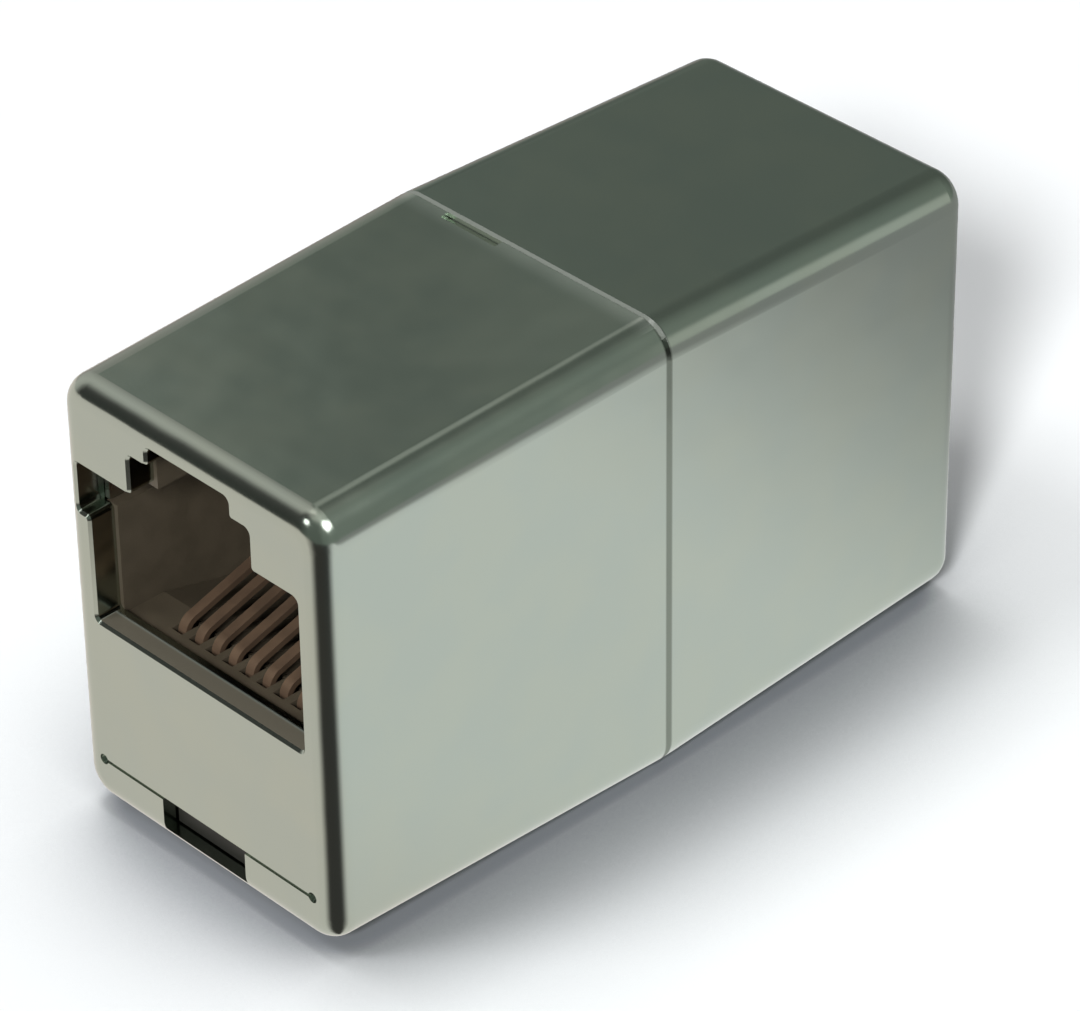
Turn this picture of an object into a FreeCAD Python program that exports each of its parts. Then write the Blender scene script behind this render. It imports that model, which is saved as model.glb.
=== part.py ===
import FreeCAD, Part
import math
import os

# In-line coupler for two shielded eight-way plugs, in millimetres.
# X is the width, Y runs from the front end to the rear end and Z is up.
# The origin is the centre of the base of the whole, so the seam's lowest line lies at height 0.
# A depth is measured back from the front end face. Rear pieces are front ones turned half round.

# Housing, drafted from both ends out to the seam
side_draft = 0.2
height_draft = 0.63
seam_shift = 0.3
wall = 1.0
end_wall = 1.3
long_edge_radius = 1.5
end_edge_radius = 1.05
inner_edge_radius = 0.5
seam_bevel = 0.12

# Lip of the front shell inside the rear shell, with its snap barbs
lip_length = 1.5
lip_thickness = 0.45
lip_clearance = 0.05
barb_length = 4.0
barb_height = 0.2
barb_depth = 0.7
barb_lead = 0.2

# Sloping pry notch in the front shell's top edge at the seam
pry_centre = -3.0
pry_length = 3.2
pry_run = 0.6
pry_depth = 0.35

# Keyed opening in each end wall, with heights above its sill and the face left around it
sill_height = 9.3
cheek = 1.55
brow = 1.15
opening_width = 12.4
opening_height = 7.35
key_width = 7.1
key_height = 9.25
latch_width = 4.8
latch_height = 10.15
opening_corner_radius = 0.25
opening_bevel = 0.12

# Notch beside the opening, at the ground spring
notch_reach = 0.75
notch_height = 2.3

# Fine line and narrow slot low on each end wall
line_height = 2.2
line_length = 12.7
line_width = 0.16
line_depth = 0.15
line_end_radius = 0.24
slot_centre = -0.2
slot_width = 5.0
slot_height = 1.6

# Socket body behind the end wall
fit_clearance = 0.1
reveal = 0.2
cavity_depth = 10.9
socket_back_wall = 2.5
front_lip = 0.65
ramp_start = 2.1
ramp_end = 6.7
ramp_drop = 1.2
leg_width = 1.75
front_plate = 0.8
tongue_recess = 0.7
latch_slot_depth = 8.0
comb_slot_depth = 1.6
comb_slot_rise = 4.0
back_pocket = 1.8
channel_width = 0.62
channel_depth = 0.4

# Contacts, bent from flat wire
contact_count = 8
contact_pitch = 1.016
wire_width = 0.46
wire_thickness = 0.28
wire_clearance = 0.02
nose_clearance = 0.27
nose_radius = 0.6
run_drop = 2.55
tip_rise = 3.2
tip_inset = 1.0
row_spacing = 1.4
jog_inset = 0.25
jog_radius = 0.4
stub_length = 0.6

# Contact carrier
carrier_depth = 2.55
carrier_inset = 0.85
carrier_margin = 1.25
carrier_height = 7.0
standoff = 0.8
rail_width = 1.2
peg_radius = 0.6
peg_length = 1.2
peg_inset = 0.9
peg_rise = 1.0
peg_clearance = 0.03

# Circuit board
board_thickness = 1.6
board_clearance = 0.12

# Ground spring
spring_thickness = 0.25
spring_gap = 0.05
spring_bow = 0.7
bow_start = 1.6
bow_top = 4.4
bow_end = 7.6
bow_radius = 1.5
window_length = 8.4

# Places that follow from the sizes above
tolerance = 1e-6
socket_depth = cavity_depth + socket_back_wall
half_length = end_wall + socket_depth + carrier_depth + board_thickness / 2
front_length = half_length + seam_shift
rear_length = half_length - seam_shift
end_width = opening_width + 2 * cheek
end_height = sill_height + latch_height + brow
seam_width = end_width + 2 * side_draft
seam_height = end_height + 2 * height_draft
end_bottom = height_draft
end_top = seam_height - height_draft
line_z = end_bottom + line_height
sill = end_bottom + sill_height
notch_top = sill + opening_height
notch_bottom = notch_top - notch_height
inner_half_width = end_width / 2 - wall
inner_floor = end_bottom + wall
inner_roof = end_top - wall
socket_half_width = inner_half_width - fit_clearance
socket_top = inner_roof - fit_clearance
leg_bottom = inner_floor + fit_clearance
socket_back = end_wall + socket_depth
cavity_back = end_wall + cavity_depth
pocket_front = socket_back - back_pocket
board_front = half_length - board_thickness / 2
board_back = half_length + board_thickness / 2
lip_back = end_wall + front_lip
lip_top = sill - reveal
ramp_foot = lip_top - ramp_drop
nose_depth = lip_back + nose_clearance + wire_thickness / 2
run_height = sill - run_drop
underside = run_height - channel_width / 2 - reveal
groove_top = run_height + channel_width / 2
pocket_top = run_height + row_spacing / 2 + wire_thickness
carrier_half_width = socket_half_width - carrier_inset
peg_x = carrier_half_width - peg_inset
peg_z = sill + peg_rise


def at(depth):
    """Y of the plane at this depth behind the front end face."""
    return depth - half_length


def box(x0, x1, depth0, depth1, z0, z1):
    corner = FreeCAD.Vector(x0, at(depth0), z0)
    return Part.makeBox(x1 - x0, depth1 - depth0, z1 - z0, corner)


def rod(radius, x, z, depth0, depth1):
    start = FreeCAD.Vector(x, at(depth0), z)
    return Part.makeCylinder(radius, depth1 - depth0, start, FreeCAD.Vector(0, 1, 0))


def turned(shape):
    """The same piece for the other end: half a turn about the upright axis."""
    copy = shape.copy()
    copy.rotate(FreeCAD.Vector(0, 0, 0), FreeCAD.Vector(0, 0, 1), 180)
    return copy


def rounded_wire(points, radii, closed):
    """Straight runs joined by tangent arcs, with one radius for each point."""
    count = len(points)
    corners = []
    for index in range(count):
        corner = points[index]
        is_end = not closed and index in (0, count - 1)
        if is_end or radii[index] == 0:
            corners.append((corner, None, corner))
            continue
        back = (points[index - 1] - corner).normalize()
        ahead = (points[(index + 1) % count] - corner).normalize()
        half_angle = back.getAngle(ahead) / 2
        reach = radii[index] / math.tan(half_angle)
        bisector = (back + ahead).normalize()
        to_arc = radii[index] / math.sin(half_angle) - radii[index]
        corners.append((corner + back * reach, corner + bisector * to_arc, corner + ahead * reach))
    edges = []
    for index, (start, middle, end) in enumerate(corners):
        if middle is not None:
            edges.append(Part.Arc(start, middle, end).toShape())
        if closed or index < count - 1:
            edges.append(Part.LineSegment(end, corners[(index + 1) % count][0]).toShape())
    return Part.Wire(edges)


def end_prism(outline, radius, depth0, depth1):
    """A closed outline of (x, z) points carried from one depth to another."""
    points = [FreeCAD.Vector(x, at(depth0), z) for x, z in outline]
    face = Part.Face(rounded_wire(points, [radius] * len(points), True))
    return face.extrude(FreeCAD.Vector(0, depth1 - depth0, 0))


def side_prism(outline, x0, x1):
    """A closed outline of (depth, z) points carried from one x to another."""
    points = [FreeCAD.Vector(x0, at(depth), z) for depth, z in outline]
    face = Part.Face(rounded_wire(points, [0] * len(points), True))
    return face.extrude(FreeCAD.Vector(x1 - x0, 0, 0))


def plan_prism(outline, z0, z1):
    """A closed outline of (x, depth) points carried from one height to another."""
    points = [FreeCAD.Vector(x, at(depth), z0) for x, depth in outline]
    face = Part.Face(rounded_wire(points, [0] * len(points), True))
    return face.extrude(FreeCAD.Vector(0, 0, z1 - z0))


def drafted_block(inset, depth0, depth1, shell_length):
    """The housing's drafted form, drawn in by inset, between two depths."""
    rings = []
    for depth in (depth0, depth1):
        share = depth / shell_length
        half_x = end_width / 2 + side_draft * share - inset
        low = end_bottom - height_draft * share + inset
        high = end_top + height_draft * share - inset
        outline = [(-half_x, low), (half_x, low), (half_x, high), (-half_x, high)]
        rings.append([FreeCAD.Vector(x, at(depth), z) for x, z in outline])
    front, back = rings
    loops = [front, back]
    for index in range(4):
        after = (index + 1) % 4
        loops.append([front[index], front[after], back[after], back[index]])
    faces = [Part.Face(Part.makePolygon(loop + [loop[0]])) for loop in loops]
    block = Part.Solid(Part.Shell(faces))
    if block.Volume < 0:
        block.reverse()
    return block


def edges_between(shape, depth0, depth1):
    """Edges that run from one depth to another, or lie in one depth's plane."""
    found = []
    for edge in shape.Edges:
        ys = sorted(vertex.Point.y for vertex in edge.Vertexes)
        if abs(ys[0] - at(depth0)) < tolerance and abs(ys[-1] - at(depth1)) < tolerance:
            found.append(edge)
    return found


def keyed_outline(inset, bottom):
    """The plug's keyed outline, drawn in by inset, right side first."""
    main = opening_width / 2 - inset
    key = key_width / 2 - inset
    latch = latch_width / 2 - inset
    shoulder = sill + opening_height - inset
    step = sill + key_height - inset
    top = sill + latch_height - inset
    right = [(main, bottom), (main, shoulder), (key, shoulder), (key, step), (latch, step), (latch, top)]
    left = [(-x, z) for x, z in reversed(right)]
    return right, left


def wall_opening():
    """Keyed opening through the end wall, with the notch for the ground spring at its left."""
    right, left = keyed_outline(0, sill)
    main = opening_width / 2
    notch = [(-main - notch_reach, notch_top), (-main - notch_reach, notch_bottom), (-main, notch_bottom)]
    outline = right + left[:-2] + notch + [left[-1]]
    return end_prism(outline, opening_corner_radius, -1, end_wall)


def end_marks():
    """Fine line with its round ends, and the narrow slot below its middle."""
    half_line = line_length / 2
    line = box(-half_line, half_line, -1, line_depth, line_z - line_width / 2, line_z + line_width / 2)
    slot_left = slot_centre - slot_width / 2
    slot = box(slot_left, slot_left + slot_width, -1, end_wall, line_z - slot_height, line_z)
    ends = [rod(line_end_radius, x, line_z, -1, line_depth) for x in (-half_line, half_line)]
    return [line, slot] + ends


def rim_edges(shape):
    """Edges of the keyed opening that lie in the end face."""
    main = opening_width / 2 + notch_reach + tolerance
    found = []
    for edge in edges_between(shape, 0, 0):
        centre = edge.BoundBox.Center
        in_height = sill - tolerance < centre.z < sill + latch_height + tolerance
        if abs(centre.x) < main and in_height:
            found.append(edge)
    return found


def shell(shell_length, added):
    """One half of the housing, drafted and rounded outside and hollow, with what is added at its seam."""
    body = drafted_block(0, 0, shell_length, shell_length)
    body = body.makeFillet(long_edge_radius, edges_between(body, 0, shell_length))
    body = body.makeFillet(end_edge_radius, edges_between(body, 0, 0))
    body = body.makeChamfer(seam_bevel, edges_between(body, shell_length, shell_length))
    body = body.cut(wall_opening())
    body = body.makeChamfer(opening_bevel, rim_edges(body))
    mouth = shell_length + 2 * lip_length
    hollow = drafted_block(wall, end_wall, mouth, shell_length)
    hollow = hollow.makeFillet(inner_edge_radius, edges_between(hollow, end_wall, mouth))
    if added:
        body = body.fuse(added)
    return body.cut([hollow] + end_marks())


def lip_block(extra, depth0, depth1):
    """The space inside the seam, widened by extra all round."""
    half_x = seam_width / 2 - wall + extra
    block = box(-half_x, half_x, depth0, depth1, wall - extra, seam_height - wall + extra)
    return block.makeFillet(inner_edge_radius + extra, edges_between(block, depth0, depth1))


def barbs(seam_depth, direction, clearance):
    """Wedge catches on both sides of the lip, or their pockets when clearance is given."""
    face_x = seam_width / 2 - wall + lip_thickness
    peak = face_x + barb_height + clearance
    foot = face_x + clearance
    near = seam_depth + direction * (lip_length - barb_lead - barb_depth - clearance)
    far = seam_depth + direction * (lip_length - barb_lead + clearance)
    half_z = barb_length / 2 + clearance
    wedges = []
    for side in (-1, 1):
        root = side * (face_x - lip_thickness / 2)
        outline = [(root, near), (side * peak, near), (side * foot, far), (root, far)]
        wedges.append(plan_prism(outline, seam_height / 2 - half_z, seam_height / 2 + half_z))
    return wedges


def pry_notch():
    """Wedge taken from the front shell's top edge, deepest at the seam."""
    low = seam_height - pry_depth
    slope_start = front_length - pry_run
    above = seam_height + 1
    outline = [(slope_start, seam_height), (front_length, low), (front_length, above), (slope_start, above)]
    return side_prism(outline, pry_centre - pry_length / 2, pry_centre + pry_length / 2)


def front_shell():
    lip = lip_block(lip_thickness, front_length - lip_length, front_length + lip_length)
    return shell(front_length, [lip] + barbs(front_length, 1, 0)).cut(pry_notch())


def rear_shell():
    seat = rear_length - lip_length - lip_clearance
    rebate = lip_block(lip_thickness + lip_clearance, seat, rear_length + 1)
    return turned(shell(rear_length, []).cut([rebate] + barbs(rear_length, -1, lip_clearance)))


def contact_x(index):
    return (index - (contact_count - 1) / 2) * contact_pitch


def row_height(index):
    """Board row of a contact: neighbours stand in two rows."""
    side = 1 if index % 2 == 0 else -1
    return run_height + side * row_spacing / 2


def strip_hole(x, z, depth0, depth1):
    """Hole that one contact's flat wire passes through."""
    half_x = wire_width / 2 + wire_clearance
    half_z = wire_thickness / 2 + wire_clearance
    return box(x - half_x, x + half_x, depth0, depth1, z - half_z, z + half_z)


def strip(points, radii, across, thickness):
    """Flat strip bent along a path, with across as its full width."""
    along = (points[1] - points[0]).normalize()
    lift = FreeCAD.Vector(across).normalize().cross(along) * (thickness / 2)
    half = across / 2
    first = points[0]
    ring = [first - half - lift, first + half - lift, first + half + lift, first - half + lift]
    section = Part.makePolygon(ring + [ring[0]])
    return rounded_wire(points, radii, False).makePipeShell([section], True, False)


def contact(index):
    """One bent contact: free tip, nose, run under the floor, and stub through the board."""
    row = row_height(index)
    corners = [
        (cavity_back + tip_inset, sill + tip_rise),
        (nose_depth, sill),
        (nose_depth, run_height),
        (pocket_front + jog_inset, run_height),
        (socket_back - jog_inset, row),
        (board_back + stub_length, row),
    ]
    points = [FreeCAD.Vector(contact_x(index), at(depth), z) for depth, z in corners]
    radii = [0, nose_radius, nose_radius, jog_radius, jog_radius, 0]
    return strip(points, radii, FreeCAD.Vector(wire_width, 0, 0), wire_thickness)


def ramp_height(depth):
    share = (depth - end_wall - ramp_start) / (ramp_end - ramp_start)
    return lip_top - ramp_drop * share


def cavity():
    """The plug's space: keyed outline over a floor that ramps down behind its front lip."""
    right, left = keyed_outline(reveal, ramp_foot)
    space = end_prism(right + left, 0, end_wall - 1, cavity_back)
    ramp = [
        (0, ramp_foot - 1),
        (0, lip_top),
        (end_wall + ramp_start, lip_top),
        (end_wall + ramp_end, ramp_foot),
        (end_wall + ramp_end, ramp_foot - 1),
    ]
    return space.cut(side_prism(ramp, -opening_width, opening_width))


def wire_channel(x):
    """Room in the socket for one wire: nose slot, top groove, comb slot and under groove."""
    slot_back = nose_depth + nose_radius + channel_width / 2
    comb_back = cavity_back + comb_slot_depth
    comb_top = sill + comb_slot_rise
    outline = [
        (lip_back, underside - 1),
        (lip_back, sill + 1),
        (cavity_back, comb_top),
        (comb_back, comb_top),
        (comb_back, ramp_foot - channel_depth),
        (end_wall + ramp_end, ramp_foot - channel_depth),
        (slot_back, ramp_height(slot_back) - channel_depth),
        (slot_back, groove_top),
        (socket_back + 1, groove_top),
        (socket_back + 1, underside - 1),
    ]
    return side_prism(outline, x - channel_width / 2, x + channel_width / 2)


def spring_room():
    """Window in the socket's left wall where the spring bows, and the groove behind it."""
    outer = -socket_half_width - 1
    groove_x = -inner_half_width + spring_gap + spring_thickness + fit_clearance
    inner = groove_x + spring_bow
    window = box(outer, inner, end_wall - 1, end_wall + window_length, notch_bottom, notch_top)
    groove = box(outer, groove_x, end_wall, socket_back + 1, notch_bottom, notch_top)
    return [window, groove]


def socket():
    half_x = socket_half_width
    body = box(-half_x, half_x, end_wall, socket_back, leg_bottom, socket_top)
    body = body.makeFillet(inner_edge_radius, edges_between(body, end_wall, socket_back))
    legs_x = half_x - leg_width
    latch = latch_width / 2 - reveal
    key_top = sill + key_height - reveal
    cuts = [
        cavity(),
        box(-legs_x, legs_x, end_wall + front_plate, socket_back + 1, leg_bottom - 1, underside),
        box(-legs_x, legs_x, pocket_front, socket_back + 1, underside - 1, pocket_top),
        box(-latch, latch, end_wall - 1, end_wall + latch_slot_depth, key_top - 1, socket_top + 1),
    ]
    cuts += spring_room()
    cuts += [wire_channel(contact_x(index)) for index in range(contact_count)]
    hole_front = socket_back - peg_length - fit_clearance
    for x in (-peg_x, peg_x):
        cuts.append(rod(peg_radius + peg_clearance, x, peg_z, hole_front, socket_back + 1))
    tongue_half = slot_width / 2 - fit_clearance
    tongue_low = line_z - slot_height + fit_clearance
    tongue_high = line_z - fit_clearance
    tongue_left = slot_centre - tongue_half
    tongue_right = slot_centre + tongue_half
    tongue = box(tongue_left, tongue_right, tongue_recess, end_wall, tongue_low, tongue_high)
    return body.cut(cuts).fuse(tongue)


def carrier():
    """Block behind the socket that grips the eight contacts and stands off the board on two rails."""
    low = run_height - row_spacing / 2 - carrier_margin
    high = low + carrier_height
    half_x = carrier_half_width
    body = box(-half_x, half_x, socket_back, board_front - standoff, low, high)
    pieces = [
        box(-half_x, rail_width - half_x, socket_back, board_front, low, high),
        box(half_x - rail_width, half_x, socket_back, board_front, low, high),
    ]
    for x in (-peg_x, peg_x):
        pieces.append(rod(peg_radius, x, peg_z, socket_back - peg_length, socket_back + 1))
    holes = []
    for index in range(contact_count):
        holes.append(strip_hole(contact_x(index), row_height(index), socket_back - 1, board_front))
    return body.fuse(pieces).removeSplitter().cut(holes)


def circuit_board():
    """Upright board at mid length, drilled for both sets of wires."""
    half_x = inner_half_width + side_draft * board_front / front_length - board_clearance
    low = inner_floor - height_draft * board_front / front_length + board_clearance
    board = box(-half_x, half_x, board_front, board_back, low, seam_height - low)
    board = board.makeFillet(inner_edge_radius, edges_between(board, board_front, board_back))
    holes = []
    for index in range(contact_count):
        for z in (row_height(index), row_height(index + 1)):
            holes.append(strip_hole(contact_x(index), z, board_front - 1, board_back + 1))
    return board.cut(holes)


def ground_spring():
    """Leaf spring along the socket's left wall, bowed in towards the plug's shield."""
    flat_x = -inner_half_width + spring_gap + spring_thickness / 2
    low = notch_bottom + fit_clearance
    height = notch_height - 2 * fit_clearance
    places = [
        (end_wall, flat_x),
        (end_wall + bow_start, flat_x),
        (end_wall + bow_top, flat_x + spring_bow),
        (end_wall + bow_end, flat_x),
        (board_front, flat_x),
    ]
    middle = low + height / 2
    points = [FreeCAD.Vector(x, at(depth), middle) for depth, x in places]
    radii = [0, bow_radius, bow_radius, bow_radius, 0]
    return strip(points, radii, FreeCAD.Vector(0, 0, height), spring_thickness)


def save(name, shape):
    shape.exportStep("parts/" + name + ".step")
    print(name, "solids", len(shape.Solids), "valid", shape.isValid(), "mm3", round(shape.Volume, 2))


def main():
    os.makedirs("parts", exist_ok=True)
    save("front_shell", front_shell())
    save("rear_shell", rear_shell())
    save("circuit_board", circuit_board())
    halves = {
        "socket": socket(),
        "contact_carrier": carrier(),
        "ground_spring": ground_spring(),
    }
    for index in range(contact_count):
        halves["contact_" + str(index + 1)] = contact(index)
    for name, shape in halves.items():
        save("front_" + name, shape)
        save("rear_" + name, turned(shape))


main()
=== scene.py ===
import math

import bpy
from mathutils import Matrix, Vector

# In-line coupler for two shielded eight-way plugs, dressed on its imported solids, in metres.
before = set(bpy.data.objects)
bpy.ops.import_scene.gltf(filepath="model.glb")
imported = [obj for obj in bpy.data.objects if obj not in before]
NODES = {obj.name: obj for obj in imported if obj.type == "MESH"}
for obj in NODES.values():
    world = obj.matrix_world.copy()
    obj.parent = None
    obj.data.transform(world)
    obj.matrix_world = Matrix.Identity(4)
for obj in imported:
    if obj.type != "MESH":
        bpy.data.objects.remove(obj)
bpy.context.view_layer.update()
MM = 0.001
RISE = (0.0, 1.0)
FALL = (1.0, 0.0)

# Camera, from the fit of the solids to the photograph: place, sensor and lens in millimetres
CAMERA_PLACE = (132.950, -125.630, 137.069)
CAMERA_RIGHT = (0.694967, 0.718937, -0.012274)
CAMERA_UP = (-0.403915, 0.404456, 0.820529)
CAMERA_BACK = (0.594873, -0.565283, 0.571473)
CAMERA_CLIP = (0.01, 20)
SENSOR = 36.0
LENS = 179.57

# Floor of pale paper, in metres, and the shade painted on it where something stands within millimetres
FLOOR_SIZE = 3.0
FLOOR_COLOUR = (0.83, 0.85, 0.86)
FLOOR_GLOW = 0.01
PAINTED_NEAR_SHADE = (0.195, 0.207, 0.230)
NEAR_REACH = 16
NEAR_OPENNESS = (0.35, 0.98)
NEAR_SAMPLES = 16

# Distant lights on floor and object: name, way to the light, strength and width in radians
SUNS = (
    ("key", (-0.17, 0.03, 0.985), 1.05, 0.25),
    ("front_key", (-0.28, -0.47, 0.84), 1.00, 0.30),
    ("fill", (0.434, -0.695, 0.574), 3.30, 0.18),
)

# Distant light into the front opening, which turns half a turn for the rear opening
SOCKET_WAY = (0.45, -0.80, 0.40)
SOCKET_LIGHT = 1.6
SOCKET_WIDTH = 0.25

# Small lamps that glint in the plating: name, way to the lamp, watts and width in millimetres
LAMP_DISTANCE = 600
SPARKS = (
    ("spark", (0.61, 0.02, 0.79), 1.1, 320),
    ("small_spark", (-0.20, -0.70, 0.69), 0.22, 150),
)

# Form of every surface: how fine its three noises are, and where the drift changes it
DRIFT_DETAIL = 3.0
GRAIN_DETAIL = 2.0
WAVE_DETAIL = 1.0
DRIFT_TO_COLOUR = (0.35, 0.65)
DRIFT_TO_ROUGHNESS = (0.3, 0.7)
WAVE_SCALE = 0.35

# Colours between which each material drifts
PLATING = ((0.42, 0.475, 0.42), (0.435, 0.485, 0.42))
MOULDING = ((0.050, 0.041, 0.028), (0.059, 0.048, 0.033))
CARRIER = ((0.056, 0.044, 0.033), (0.066, 0.053, 0.040))
GOLD = ((0.180, 0.120, 0.079), (0.215, 0.142, 0.092))
STEEL = ((0.52, 0.51, 0.48), (0.57, 0.56, 0.53))
LAMINATE = ((0.010, 0.075, 0.030), (0.014, 0.095, 0.038))

# Marks on the shells: the colour, bands in millimetres with their soft ends, and how far a face
# looks along an axis. Dirt and painted shade in the side seam, and a painted highlight along the top seam
SIDE_FACE = (0.3, 0.6)
LEVEL_FACE = (0.8, 0.95)
# Dirt and painted shade: darker plating on the side faces along the seam
SEAM_DIRT_AND_SHADE = (0.22, 0.25, 0.21)
SEAM_BAND = (0.20, 0.42)
SEAM_SOFT = 0.12
# Painted highlight: lighter plating on the top face just in front of the top seam
SEAM_HIGHLIGHT = (0.80, 0.84, 0.78)
SEAM_HIGHLIGHT_LEVELS = (0.0, 0.75)
SEAM_HIGHLIGHT_BAND = (-0.9, 0.3)
SEAM_HIGHLIGHT_END = (0.28, 0.32)

# Matt cast sill of each opening, and the bare burr along the top seam
CAST_SILL = (0.115, 0.105, 0.080)
SILL_DEPTH = (17.0, 17.2)
SILL_HALF = (6.5, 6.7)
SILL_HEIGHT = (9.7, 10.1)
SILL_SOFT = 0.05
BURR = (0.155, 0.17, 0.15)
BURR_BAND = (0.28, 0.44)
BURR_SOFT = 0.02
BURR_FACE = (0.5, 0.85)
BURR_FACE_SOFT = 0.1

# Painted shade on the moulding behind the low slot of the end wall, below this height in millimetres
LOW_MOULDING_SHADE = (0.012, 0.012, 0.010)
LOW_BAND = (7.5, 8.5)

# What polished faces mirror of the floor: paper that is darker at the back, along Y, and warmer at
# the left front, along X + Y, both in millimetres
BACK_FLOOR = 0.38
BACK_BAND = (10, 42)
WARM_FLOOR = (0.93, 0.85, 0.80)
COOL_FLOOR = (0.99, 0.99, 0.99)
WARM_BAND = (-20, 10)

# Dark wedge of floor ahead of the near corner: its corner in millimetres, its middle as a turn
# from straight ahead to the right, and how far off the middle it fades, in radians
WEDGE_CORNER = (7.0, -17.2)
WEDGE_MIDDLE = 0.68
WEDGE_FADE = (0.38, 0.95)
WEDGE_SHADE = 0.07

# What they mirror of the studio above, with a window at the left: the turn in radians from the left
# towards the rear, the brightness there and its tint
NEUTRAL = (1.00, 0.97, 0.925)
GREENISH = (0.94, 1.07, 0.965)
SKY = (
    (-3.14, 0.28, GREENISH),
    (-2.60, 0.24, GREENISH),
    (-2.30, 0.17, GREENISH),
    (-1.50, 0.17, GREENISH),
    (-1.10, 0.06, GREENISH),
    (-0.66, 0.06, NEUTRAL),
    (-0.34, 0.60, NEUTRAL),
    (-0.03, 0.68, NEUTRAL),
    (0.43, 0.55, NEUTRAL),
    (0.58, 0.36, NEUTRAL),
    (0.63, 0.31, GREENISH),
    (0.675, 0.12, GREENISH),
    (0.70, 0.11, GREENISH),
    (0.735, 0.225, GREENISH),
    (0.79, 0.165, GREENISH),
    (0.86, 0.175, GREENISH),
    (1.00, 0.14, GREENISH),
    (1.40, 0.14, GREENISH),
    (1.80, 0.21, GREENISH),
    (2.20, 0.28, GREENISH),
    (2.45, 0.26, GREENISH),
    (3.14, 0.28, GREENISH),
)

# Lighter strips that the long top edge mirrors, one at the left rear for the front half and one low
# at the right rear for the rear half, by turn and by the Y and Z of the way, and a lighter crown
FRONT_STRIP = 0.32
FRONT_STRIP_Y = (0.565, 0.585)
FRONT_STRIP_Z = (0.60, 0.66)
FRONT_STRIP_START = (0.70, 0.75)
FRONT_STRIP_END = (0.86, 0.96)
REAR_STRIP = 0.40
REAR_STRIP_Y = (0.575, 0.60)
REAR_STRIP_Z = (0.30, 0.50)
REAR_STRIP_START = (2.20, 2.35)
CROWN = 0.45
CROWN_Z = (0.84, 0.98)

# Light of the surroundings on matt surfaces, and what the camera sees of them
SKY_FILL = 0.015
BACKDROP = 1.0


def add_camera():
    data = bpy.data.cameras.new("camera")
    data.sensor_width = SENSOR
    data.lens = LENS
    data.clip_start, data.clip_end = CAMERA_CLIP
    camera = bpy.data.objects.new("camera", data)
    bpy.context.scene.collection.objects.link(camera)
    turn = Matrix((CAMERA_RIGHT, CAMERA_UP, CAMERA_BACK)).transposed().to_4x4()
    camera.matrix_world = Matrix.Translation(Vector(CAMERA_PLACE) * MM) @ turn
    bpy.context.scene.camera = camera


def add_node(tree, kind, **settings):
    node = tree.nodes.new(kind)
    for name, value in settings.items():
        setattr(node, name, value)
    return node


def feed(tree, socket, value):
    """Give a socket a number or a colour, or link it to another node's output."""
    if isinstance(value, (int, float)):
        socket.default_value = value
    elif isinstance(value, tuple):
        socket.default_value = (*value, 1)
    else:
        tree.links.new(value, socket)


def fed_node(tree, kind, *values, **settings):
    """Node whose first inputs get the values."""
    node = add_node(tree, kind, **settings)
    for socket, value in zip(node.inputs, values):
        feed(tree, socket, value)
    return node


def math_node(tree, operation, *values):
    """Math node on one or two numbers or sockets, giving its output."""
    return fed_node(tree, "ShaderNodeMath", *values, operation=operation).outputs[0]


def product(tree, first, *rest):
    """Product of several sockets or numbers."""
    for value in rest:
        first = math_node(tree, "MULTIPLY", first, value)
    return first


def axes(tree, vector):
    """X, Y and Z of a vector."""
    return fed_node(tree, "ShaderNodeSeparateXYZ", vector).outputs


def in_millimetres(tree, place):
    return [math_node(tree, "MULTIPLY", part, 1 / MM) for part in axes(tree, place)]


def ramp(tree, value, span, levels=RISE):
    """Smooth change from the first level to the second as value goes through the span."""
    node = add_node(tree, "ShaderNodeMapRange", interpolation_type="SMOOTHSTEP", clamp=True)
    feed(tree, node.inputs["Value"], value)
    limits = ("From Min", "From Max", "To Min", "To Max")
    for name, number in zip(limits, (*span, *levels)):
        feed(tree, node.inputs[name], number)
    return node.outputs["Result"]


def band(tree, value, span, soft):
    """One where value lies in the span, falling to nothing over soft at both ends."""
    low, high = span
    rise = ramp(tree, value, (low - soft, low))
    return product(tree, rise, ramp(tree, value, (high, high + soft), FALL))


def blend(tree, factor, first, second):
    """Colour that goes from the first to the second with the factor."""
    node = add_node(tree, "ShaderNodeMix", data_type="RGBA")
    for name, value in (("Factor", factor), ("A", first), ("B", second)):
        feed(tree, node.inputs[name], value)
    return node.outputs["Result"]


def object_place(tree):
    return add_node(tree, "ShaderNodeTexCoord").outputs["Object"]


def noise(tree, scale, detail):
    """Noise fixed to the object, with scale in lumps for each millimetre."""
    node = add_node(tree, "ShaderNodeTexNoise")
    feed(tree, node.inputs["Vector"], object_place(tree))
    feed(tree, node.inputs["Scale"], scale / MM)
    feed(tree, node.inputs["Detail"], detail)
    return node.outputs["Fac"]


def bump(tree, height, distance):
    """Bump node for a height, with its distance in millimetres."""
    node = add_node(tree, "ShaderNodeBump")
    feed(tree, node.inputs["Height"], height)
    feed(tree, node.inputs["Distance"], distance * MM)
    return node


def blank_material(name):
    material = bpy.data.materials.new(name)
    material.use_nodes = True
    material.node_tree.nodes.clear()
    return material, material.node_tree


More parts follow.
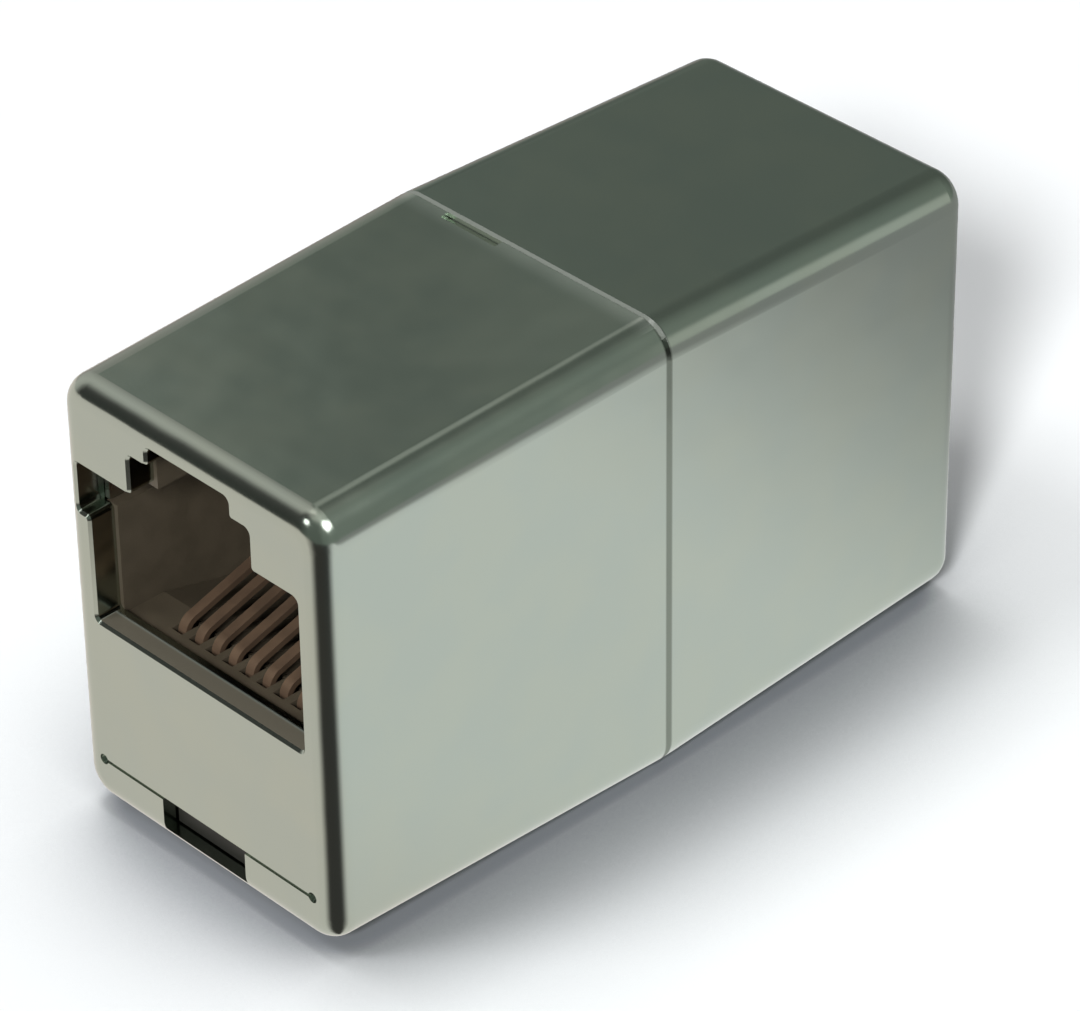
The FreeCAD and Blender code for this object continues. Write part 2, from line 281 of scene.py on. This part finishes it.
def add_shell_marks_and_painted_light(tree, shader, colour):
    """Dirt and painted shade in the side seam, painted highlight and bare burr at the top seam, cast sill
    in the openings.
    """
    x, y, z = in_millimetres(tree, object_place(tree))
    normal = add_node(tree, "ShaderNodeNewGeometry").outputs["True Normal"]
    sideways, _, upright = [math_node(tree, "ABSOLUTE", part) for part in axes(tree, normal)]
    level = ramp(tree, upright, LEVEL_FACE)
    # Dirt and painted shade along the side seam
    dirt_and_shade = product(tree, band(tree, y, SEAM_BAND, SEAM_SOFT), ramp(tree, sideways, SIDE_FACE))
    # Painted highlight on the top face in front of the top seam
    seam_highlight = product(
        tree, ramp(tree, y, SEAM_HIGHLIGHT_BAND, SEAM_HIGHLIGHT_LEVELS), ramp(tree, y, SEAM_HIGHLIGHT_END, FALL), level
    )
    sill = product(
        tree,
        ramp(tree, math_node(tree, "ABSOLUTE", y), SILL_DEPTH),
        ramp(tree, math_node(tree, "ABSOLUTE", x), SILL_HALF, FALL),
        band(tree, z, SILL_HEIGHT, SILL_SOFT),
        level,
    )
    burr = product(
        tree, band(tree, y, BURR_BAND, BURR_SOFT), band(tree, upright, BURR_FACE, BURR_FACE_SOFT)
    )
    marks_and_painted_light = ((dirt_and_shade, SEAM_DIRT_AND_SHADE), (seam_highlight, SEAM_HIGHLIGHT), (sill, CAST_SILL), (burr, BURR))
    for mask, tint in marks_and_painted_light:
        colour = blend(tree, mask, colour, tint)
    matt = math_node(tree, "MAXIMUM", sill, burr)
    feed(tree, shader.inputs["Metallic"], math_node(tree, "SUBTRACT", 1.0, matt))
    return colour


def add_moulding_painted_shade(tree, shader, colour):
    """Painted shade on the moulding below the cavity, behind the low slot of the end wall."""
    z = in_millimetres(tree, object_place(tree))[2]
    return blend(tree, ramp(tree, z, LOW_BAND, FALL), colour, LOW_MOULDING_SHADE)


def surface_material(name, colours, metallic, roughness, mottle, grain, grain_height, marks_and_painted_light=None, wave=0.0):
    """Principled surface whose colour and roughness drift, with a fine grain and a slow wave.

    Mottle and grain are in lumps for each millimetre, grain_height and wave in millimetres.
    """
    material, tree = blank_material(name)
    shader = add_node(tree, "ShaderNodeBsdfPrincipled")
    fed_node(tree, "ShaderNodeOutputMaterial", shader.outputs[0])
    shader.inputs["Metallic"].default_value = metallic
    drift = noise(tree, mottle, DRIFT_DETAIL)
    colour = blend(tree, ramp(tree, drift, DRIFT_TO_COLOUR), *colours)
    # Marks and painted light, such as painted shade and highlights, drawn into the colour
    if marks_and_painted_light:
        colour = marks_and_painted_light(tree, shader, colour)
    feed(tree, shader.inputs["Base Color"], colour)
    feed(tree, shader.inputs["Roughness"], ramp(tree, drift, DRIFT_TO_ROUGHNESS, roughness))
    fine = bump(tree, noise(tree, grain, GRAIN_DETAIL), grain_height)
    if wave:
        slow = bump(tree, noise(tree, WAVE_SCALE, WAVE_DETAIL), wave)
        feed(tree, fine.inputs["Normal"], slow.outputs[0])
    feed(tree, shader.inputs["Normal"], fine.outputs[0])
    return material


def make_finishes():
    """Materials by the last word of the nodes' names."""
    shell = surface_material(
        "plated_zinc", PLATING, metallic=1.0, roughness=(0.17, 0.20), mottle=0.25, grain=6.0,
        grain_height=0.0005, marks_and_painted_light=add_shell_marks_and_painted_light, wave=0.03,
    )
    socket = surface_material(
        "socket_moulding", MOULDING, metallic=0.0, roughness=(0.45, 0.58), mottle=0.8, grain=12.0,
        grain_height=0.003, marks_and_painted_light=add_moulding_painted_shade,
    )
    carrier = surface_material(
        "carrier_moulding", CARRIER, metallic=0.0, roughness=(0.5, 0.6), mottle=0.8, grain=12.0,
        grain_height=0.004,
    )
    wire = surface_material(
        "gold_wire", GOLD, metallic=0.7, roughness=(0.42, 0.52), mottle=1.0, grain=10.0,
        grain_height=0.0003,
    )
    spring = surface_material(
        "spring_steel", STEEL, metallic=1.0, roughness=(0.25, 0.35), mottle=1.0, grain=12.0,
        grain_height=0.0004,
    )
    board = surface_material(
        "board_laminate", LAMINATE, metallic=0.0, roughness=(0.3, 0.4), mottle=0.6, grain=5.0,
        grain_height=0.003,
    )
    words = {"shell": shell, "socket": socket, "carrier": carrier, "spring": spring, "board": board}
    return words, wire


def dress_all():
    """Give each CAD node its material: the contacts, whose names end in a number, are gold wire."""
    words, wire = make_finishes()
    for name, node in NODES.items():
        for slot in node.material_slots:
            slot.material = words.get(name.split("_")[-1], wire)


def mirrored_floor(tree):
    """What mirror rays see of the floor: paper, dimmer to the back and in the wedge."""
    place = add_node(tree, "ShaderNodeNewGeometry").outputs["Position"]
    x, y, _ = in_millimetres(tree, place)
    back = ramp(tree, y, BACK_BAND, (1.0, BACK_FLOOR))
    across = math_node(tree, "SUBTRACT", x, WEDGE_CORNER[0])
    ahead = math_node(tree, "SUBTRACT", WEDGE_CORNER[1], y)
    turn = math_node(tree, "ARCTAN2", across, ahead)
    off = math_node(tree, "ABSOLUTE", math_node(tree, "SUBTRACT", turn, WEDGE_MIDDLE))
    wedge = ramp(tree, off, WEDGE_FADE, (WEDGE_SHADE, 1.0))
    tint = blend(tree, ramp(tree, math_node(tree, "ADD", x, y), WARM_BAND), WARM_FLOOR, COOL_FLOOR)
    return fed_node(tree, "ShaderNodeEmission", tint, product(tree, back, wedge)).outputs[0]


def add_floor():
    """Pale floor that the camera sees as white paper with the object's shadow and shade painted near it."""
    bpy.ops.mesh.primitive_plane_add(size=FLOOR_SIZE)
    floor = bpy.context.object
    floor.name = "floor"
    material, tree = blank_material("paper")
    # Painted shade: the paper colour darkens where something stands near, by ambient occlusion
    near = add_node(tree, "ShaderNodeAmbientOcclusion", samples=NEAR_SAMPLES)
    near.inputs["Distance"].default_value = NEAR_REACH * MM
    paper = blend(tree, ramp(tree, near.outputs["AO"], NEAR_OPENNESS), PAINTED_NEAR_SHADE, FLOOR_COLOUR)
    diffuse = fed_node(tree, "ShaderNodeBsdfDiffuse", paper)
    path = add_node(tree, "ShaderNodeLightPath")
    glow = add_node(tree, "ShaderNodeEmission")
    feed(tree, glow.inputs["Strength"], product(tree, path.outputs["Is Camera Ray"], FLOOR_GLOW))
    lit = fed_node(tree, "ShaderNodeAddShader", diffuse.outputs[0], glow.outputs[0])
    seen = (path.outputs["Is Glossy Ray"], lit.outputs[0], mirrored_floor(tree))
    mix = fed_node(tree, "ShaderNodeMixShader", *seen)
    fed_node(tree, "ShaderNodeOutputMaterial", mix.outputs[0])
    floor.data.materials.append(material)


def mirrored_sky(tree):
    """Colour and added brightness of the studio in reflections, from the way that a mirror ray goes."""
    way = add_node(tree, "ShaderNodeTexCoord").outputs["Generated"]
    x, y, z = axes(tree, way)
    side = math_node(tree, "ARCTAN2", y, math_node(tree, "MULTIPLY", x, -1.0))
    turn = add_node(tree, "ShaderNodeMapRange")
    feed(tree, turn.inputs["Value"], side)
    feed(tree, turn.inputs["From Min"], -math.pi)
    feed(tree, turn.inputs["From Max"], math.pi)
    around = fed_node(tree, "ShaderNodeValToRGB", turn.outputs["Result"])
    stops = around.color_ramp.elements
    first_stops = len(stops)
    for index, (angle, level, tint) in enumerate(SKY):
        place = (angle + math.pi) / (2 * math.pi)
        stop = stops[index] if index < first_stops else stops.new(place)
        stop.position = place
        stop.color = (*(level * part for part in tint), 1)
    front_strip = product(
        tree,
        ramp(tree, y, FRONT_STRIP_Y, (FRONT_STRIP, 0.0)),
        ramp(tree, z, FRONT_STRIP_Z),
        ramp(tree, side, FRONT_STRIP_START),
        ramp(tree, side, FRONT_STRIP_END, FALL),
    )
    rear_strip = product(
        tree,
        ramp(tree, y, REAR_STRIP_Y, (0.0, REAR_STRIP)),
        ramp(tree, z, REAR_STRIP_Z, FALL),
        ramp(tree, side, REAR_STRIP_START),
    )
    crown = ramp(tree, z, CROWN_Z, (0.0, CROWN))
    strips = math_node(tree, "ADD", front_strip, rear_strip)
    return around.outputs["Color"], math_node(tree, "ADD", strips, crown)


def add_world():
    """Pale surroundings to the camera, and a dim studio with a window at the left in reflections."""
    world = bpy.data.worlds.new("studio")
    bpy.context.scene.world = world
    world.use_nodes = True
    tree = world.node_tree
    tree.nodes.clear()
    colour, added = mirrored_sky(tree)
    around = fed_node(tree, "ShaderNodeBackground", colour)
    glow = fed_node(tree, "ShaderNodeBackground", NEUTRAL, added)
    studio = fed_node(tree, "ShaderNodeAddShader", around.outputs[0], glow.outputs[0])
    fill = add_node(tree, "ShaderNodeBackground")
    fill.inputs["Strength"].default_value = SKY_FILL
    backdrop = add_node(tree, "ShaderNodeBackground")
    backdrop.inputs["Strength"].default_value = BACKDROP
    shown = fill
    path = add_node(tree, "ShaderNodeLightPath")
    for ray, other in (("Is Glossy Ray", studio), ("Is Camera Ray", backdrop)):
        choice = (path.outputs[ray], shown.outputs[0], other.outputs[0])
        shown = fed_node(tree, "ShaderNodeMixShader", *choice)
    fed_node(tree, "ShaderNodeOutputWorld", shown.outputs[0])


def add_lamp(name, kind, way, strength):
    """Lamp at LAMP_DISTANCE along a way, shining back at the object."""
    data = bpy.data.lights.new(name, kind)
    data.energy = strength
    lamp = bpy.data.objects.new(name, data)
    bpy.context.scene.collection.objects.link(lamp)
    lamp.location = Vector(way).normalized() * LAMP_DISTANCE * MM
    lamp.rotation_mode = "QUATERNION"
    lamp.rotation_quaternion = Vector(way).to_track_quat("Z", "Y")
    return lamp


def add_sun(name, way, strength, width):
    """Distant light that doesn't show in mirrors."""
    sun = add_lamp(name, "SUN", way, strength)
    sun.data.angle = width
    sun.visible_glossy = False
    return sun


def add_spark(name, way, strength, width):
    """Small round lamp that shows in mirrors and lights nothing matt."""
    spark = add_lamp(name, "AREA", way, strength)
    spark.data.shape = "DISK"
    spark.data.size = width * MM
    spark.visible_diffuse = False


def add_socket_light(end, turned):
    """Soft light into one opening that shines only on the pieces behind its shell."""
    inner = bpy.data.collections.new(end + "_inner")
    for name, node in NODES.items():
        if name.startswith(end) and not name.endswith("shell"):
            inner.objects.link(node)
    x, y, z = SOCKET_WAY
    way = (-x, -y, z) if turned else SOCKET_WAY
    sun = add_sun(end + "_light", way, SOCKET_LIGHT, SOCKET_WIDTH)
    sun.light_linking.receiver_collection = inner


bpy.context.scene.view_settings.view_transform = "Standard"
add_camera()
dress_all()
add_floor()
add_world()
for sun in SUNS:
    add_sun(*sun)
add_socket_light("front", turned=False)
add_socket_light("rear", turned=True)
for spark in SPARKS:
    add_spark(*spark)
